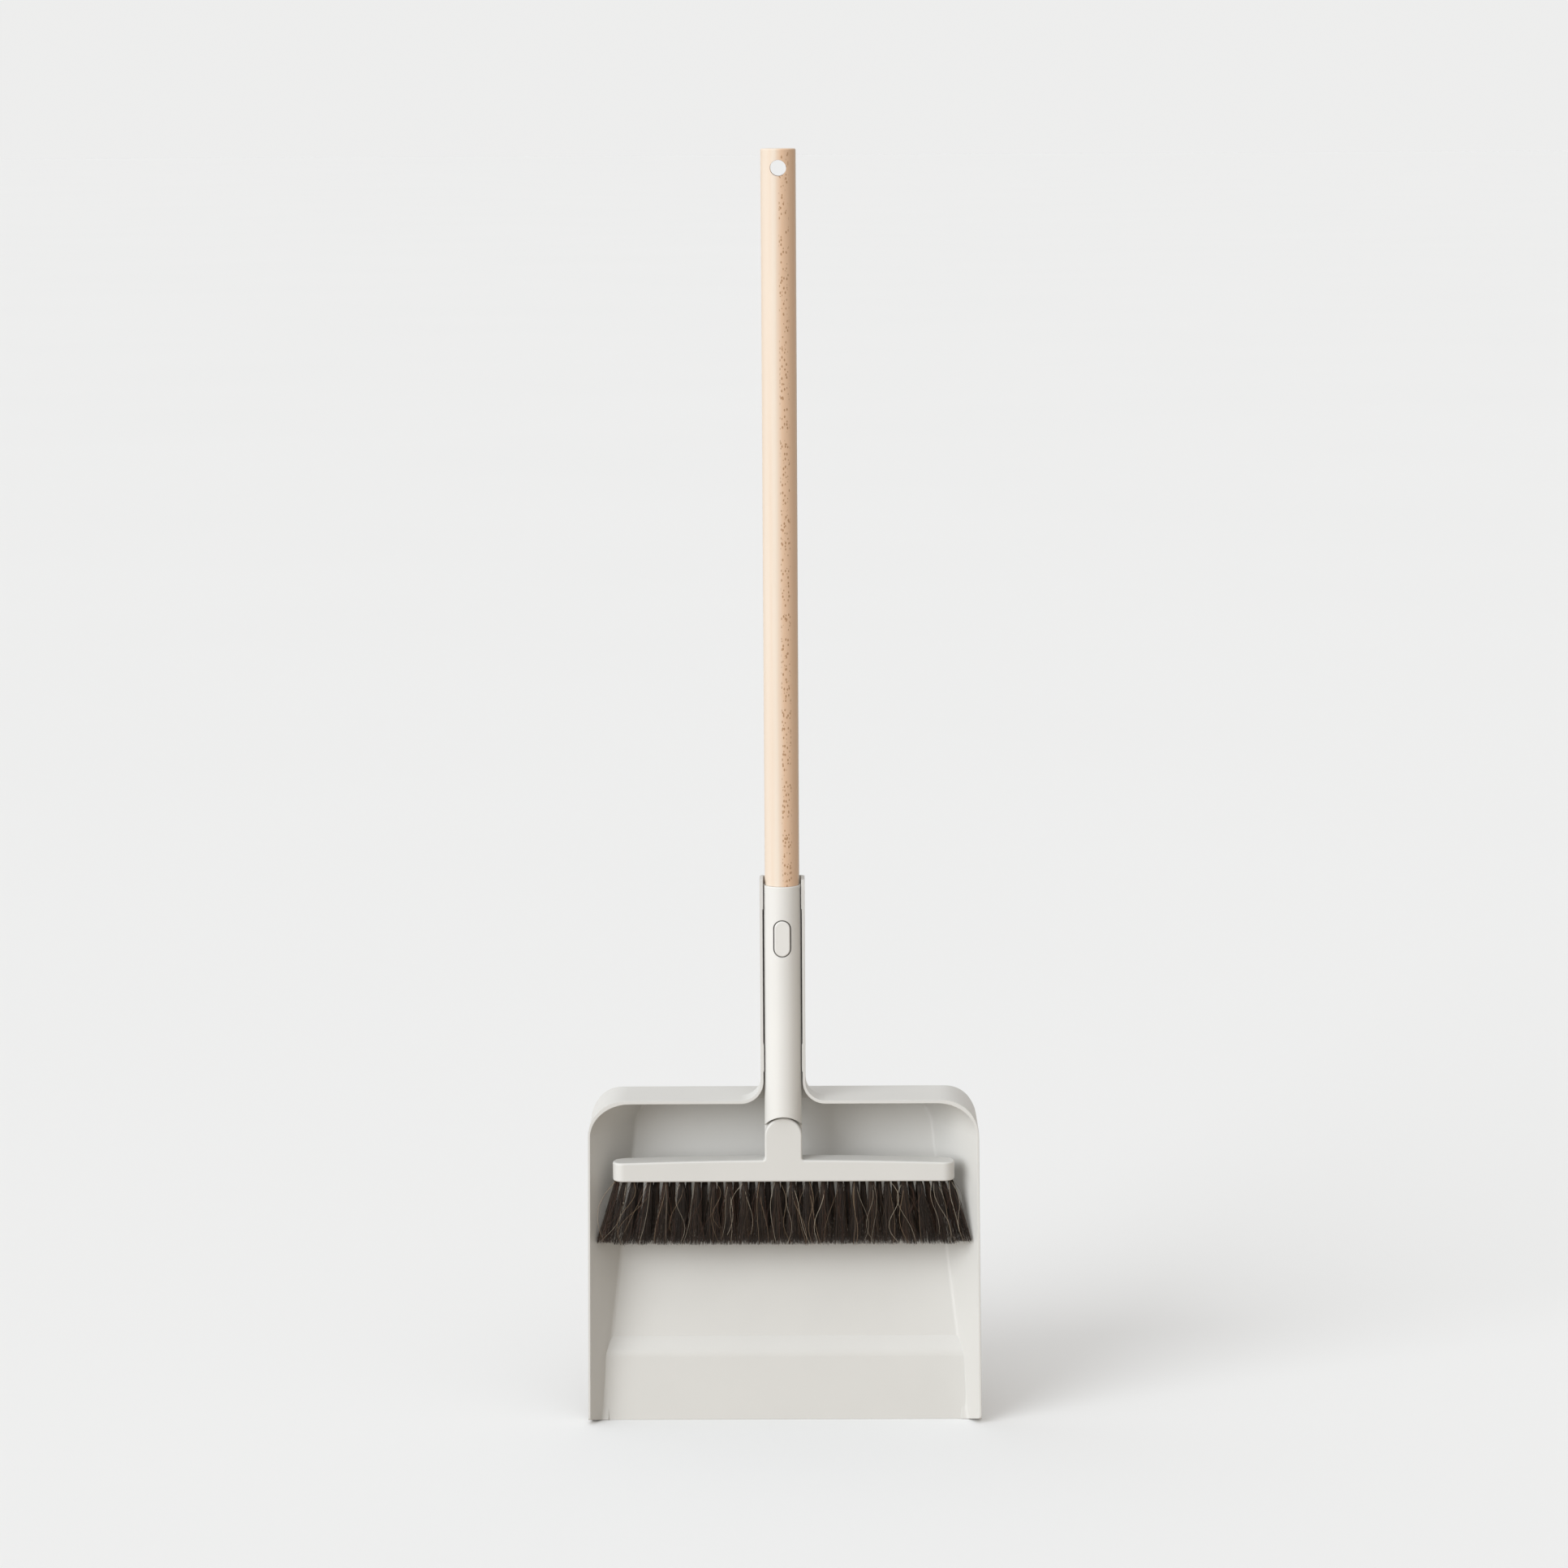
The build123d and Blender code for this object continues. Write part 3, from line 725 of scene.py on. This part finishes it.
class DUSTPAN_OT_moulded_pieces(bpy.types.Operator):
    """Finish the pan, stem, bar, button and cap in off-white plastic, and the inserts in grey; the pan and
    bar get a darker off-white that paints the light falling off towards the floor
    """

    bl_idname = "dustpan.moulded_pieces"
    bl_label = "Moulded Pieces"

    def execute(self, context):
        settings = context.scene.dustpan_plastic
        # The pan and the brush bar take the darker colour, which paints the shade of the lower pieces.
        dress(LOW_PIECES_PAINTED_SHADE, moulded_plastic("pan_plastic", settings.pan, settings))
        dress(STEM_PLASTIC, moulded_plastic("stem_plastic", settings.stem, settings))
        dress(GREY_PLASTIC, moulded_plastic("grey_plastic", settings.grey, settings))
        return {"FINISHED"}


class DUSTPAN_OT_pole(bpy.types.Operator):
    """Finish the pole in bare beech"""

    bl_idname = "dustpan.pole"
    bl_label = "Pole"

    def execute(self, context):
        dress(("pole",), bare_beech(context.scene.dustpan_pole))
        return {"FINISHED"}


class DUSTPAN_OT_fittings(bpy.types.Operator):
    """Finish the steel fittings and wind the spring that the button pushes together"""

    bl_idname = "dustpan.fittings"
    bl_label = "Steel Fittings"

    def execute(self, context):
        settings = context.scene.dustpan_spring
        steel = drawn_steel(settings.steel)
        dress(STEEL, steel)
        low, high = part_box("button_spring")
        path = coil_path(low, high, settings)
        verts, faces = [], []
        tube(verts, faces, path, [settings.wire / 2] * len(path), WIRE_SIDES)
        mesh = smooth_mesh("button_coil", verts, faces, [steel])
        coil = new_piece("button_coil", mesh, "broom")
        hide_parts("button_spring")
        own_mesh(coil)
        return {"FINISHED"}


class DUSTPAN_OT_bristle_bed(bpy.types.Operator):
    """Set the bristle bed flush into the underside of the bar"""

    bl_idname = "dustpan.bristle_bed"
    bl_label = "Bristle Bed"

    def execute(self, context):
        # The bed takes the pan's finish, with its painted shade.
        plastic = bpy.data.materials.get("pan_plastic")
        if plastic is None:
            raise RuntimeError("Finish the moulded pieces before the bristle bed")
        bed = bmesh.new()
        face = bed.faces.new([bed.verts.new(point) for point in bed_outline()])
        lifted = bmesh.ops.extrude_face_region(bed, geom=[face])
        raised = [part for part in lifted["geom"] if isinstance(part, bmesh.types.BMVert)]
        bmesh.ops.translate(bed, verts=raised, vec=(0, 0, BED_THICKNESS))
        bmesh.ops.recalc_face_normals(bed, faces=bed.faces)
        rim = [edge for edge in bed.edges if all(vert.co.z < BAR_LOW.z + 1e-6 for vert in edge.verts)]
        bmesh.ops.bevel(bed, geom=rim, offset=BED_EDGE, segments=2, affect="EDGES")
        mesh = bpy.data.meshes.new("bristle_bed")
        bed.to_mesh(mesh)
        bed.free()
        mesh.materials.append(plastic)
        new_piece("bristle_bed", mesh, "brush")
        return {"FINISHED"}


class DUSTPAN_OT_bristles(bpy.types.Operator):
    """Plant three rows of dark hair tufts, which fan out at the ends of the bar"""

    bl_idname = "dustpan.bristles"
    bl_label = "Bristles"

    def execute(self, context):
        settings = context.scene.dustpan_bristles
        finishes = [hair_finish(name + "_hair", getattr(settings, name)) for name in HAIR_COLOURS]
        for name, row in ROWS:
            places = tuft_places(row, settings)
            if row == 0:
                # The end tufts are pieces of their own, because the pan's side walls press them upright.
                self.plant(name, "_left_end", row, places[:2], settings.pressed, finishes, settings)
                self.plant(name, "_right_end", row, places[-2:], settings.pressed, finishes, settings)
                self.plant(name, "", row, places[2:-2], 1.0, finishes, settings)
            else:
                self.plant(name, "", row, places, 0.98 if row > 0 else 1.0, finishes, settings)
        return {"FINISHED"}

    def plant(self, name, part, row, places, keep, finishes, settings):
        """Set some tufts of a row into the bar; where a share below one is given, the piece gets a mesh of
        its own.
        """
        mesh = hair_mesh(name + "_hair" + part, row, places, finishes, settings)
        hair = new_piece(name + "_hair" + part, mesh, "brush")
        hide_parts(name + "_bristles")
        if keep < 1:
            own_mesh(hair)


class DUSTPAN_OT_stage(bpy.types.Operator):
    """Lay a pale floor, light it softly from the front left and set up the camera"""

    bl_idname = "dustpan.stage"
    bl_label = "Stage"

    def execute(self, context):
        settings = context.scene.dustpan_stage
        self.lay_floor(context, settings)
        self.hang_key(context, settings)
        self.light_sky(context, settings)
        self.place_camera(context, settings)
        context.scene.view_settings.view_transform = "Standard"
        return {"FINISHED"}

    def lay_floor(self, context, settings):
        mesh = bpy.data.meshes.new("studio_floor")
        wide = FLOOR_HALF
        corners = [(-wide, -wide, 0), (wide, -wide, 0), (wide, wide, 0), (-wide, wide, 0)]
        mesh.from_pydata(corners, [], [(0, 1, 2, 3)])
        mesh.materials.append(studio_floor(settings.floor, settings.bounce))
        floor = bpy.data.objects.new("studio_floor", mesh)
        context.scene.collection.objects.link(floor)

    def hang_key(self, context, settings):
        sun = bpy.data.lights.new("key_light", "SUN")
        sun.energy = settings.key
        sun.angle = settings.key_softness
        sun.color = KEY_COLOUR
        key = bpy.data.objects.new("key_light", sun)
        side, height = settings.key_side, settings.key_height
        toward = Vector((
            math.sin(side) * math.cos(height), math.cos(side) * math.cos(height), -math.sin(height),
        ))
        key.rotation_euler = toward.to_track_quat("-Z", "Y").to_euler()
        key.location = -3 * toward
        context.scene.collection.objects.link(key)

    def light_sky(self, context, settings):
        """Light the set from a sky that is brighter overhead and towards the front left."""
        world = bpy.data.worlds.new("studio_sky")
        context.scene.world = world
        world.use_nodes = True
        tree = world.node_tree
        tree.nodes.clear()
        output = tree.nodes.new("ShaderNodeOutputWorld")
        window = add_node(tree, "ShaderNodeVectorMath", operation="DOT_PRODUCT")
        window.inputs[1].default_value = WINDOW_SIDE
        tree.links.new(add_node(tree, "ShaderNodeTexCoord").outputs["Generated"], window.inputs[0])
        facing = math_node(tree, "MAXIMUM", window.outputs["Value"], 0.0)
        glow = math_node(tree, "POWER", facing, 1.5)
        sky = add_node(tree, "ShaderNodeBackground")
        strength = spread(tree, glow, settings.sky, settings.sky + settings.glow)
        tree.links.new(strength, sky.inputs["Strength"])
        room = between(tree, facing, ROOM_COLOUR, WINDOW_COLOUR)
        tree.links.new(room, sky.inputs["Color"])
        seen = add_node(tree, "ShaderNodeBackground", color=opaque(settings.backdrop), strength=1.0)
        mix = tree.nodes.new("ShaderNodeMixShader")
        tree.links.new(seen_rays(tree), mix.inputs["Fac"])
        tree.links.new(sky.outputs["Background"], mix.inputs[1])
        tree.links.new(seen.outputs["Background"], mix.inputs[2])
        tree.links.new(mix.outputs["Shader"], output.inputs["Surface"])

    def place_camera(self, context, settings):
        lens = bpy.data.cameras.new("front_camera")
        lens.sensor_width = 36.0
        lens.lens = settings.lens
        camera = bpy.data.objects.new("front_camera", lens)
        side, height = settings.azimuth, settings.elevation
        level = math.cos(height)
        back = Vector((math.sin(side) * level, -math.cos(side) * level, math.sin(height)))
        camera.location = CAMERA_AIM + settings.distance * back
        camera.rotation_mode = "QUATERNION"
        turn = (-back).to_track_quat("-Z", "Y")
        camera.rotation_quaternion = turn @ Quaternion((0, 0, 1), settings.roll)
        context.scene.collection.objects.link(camera)
        context.scene.camera = camera


OPERATORS = (
    DUSTPAN_OT_moulded_pieces,
    DUSTPAN_OT_pole,
    DUSTPAN_OT_fittings,
    DUSTPAN_OT_bristle_bed,
    DUSTPAN_OT_bristles,
    DUSTPAN_OT_stage,
)

SETTINGS = {
    "dustpan_plastic": PlasticSettings,
    "dustpan_pole": PoleSettings,
    "dustpan_spring": SpringSettings,
    "dustpan_bristles": BristleSettings,
    "dustpan_stage": StageSettings,
}


class DUSTPAN_PT_sidebar(bpy.types.Panel):
    """Lists the pieces of the set and their settings"""

    bl_label = "Dust Pan and Brush"
    bl_idname = "DUSTPAN_PT_sidebar"
    bl_space_type = "VIEW_3D"
    bl_region_type = "UI"
    bl_category = "Dust Pan"

    def draw(self, context):
        for operator in OPERATORS:
            self.layout.operator(operator.bl_idname)
        for name, group in SETTINGS.items():
            box = self.layout.box()
            settings = getattr(context.scene, name)
            for key in group.__annotations__:
                box.prop(settings, key)


def register():
    for group in SETTINGS.values():
        bpy.utils.register_class(group)
    for name, group in SETTINGS.items():
        setattr(bpy.types.Scene, name, PointerProperty(type=group))
    for operator in OPERATORS:
        bpy.utils.register_class(operator)
    bpy.utils.register_class(DUSTPAN_PT_sidebar)


def unregister():
    bpy.utils.unregister_class(DUSTPAN_PT_sidebar)
    for operator in reversed(OPERATORS):
        bpy.utils.unregister_class(operator)
    for name in SETTINGS:
        delattr(bpy.types.Scene, name)
    for group in reversed(list(SETTINGS.values())):
        bpy.utils.unregister_class(group)


def main():
    register()
    bpy.ops.dustpan.moulded_pieces()
    bpy.ops.dustpan.pole()
    bpy.ops.dustpan.fittings()
    bpy.ops.dustpan.bristle_bed()
    bpy.ops.dustpan.bristles()
    bpy.ops.dustpan.stage()


if __name__ == "__main__":
    main()
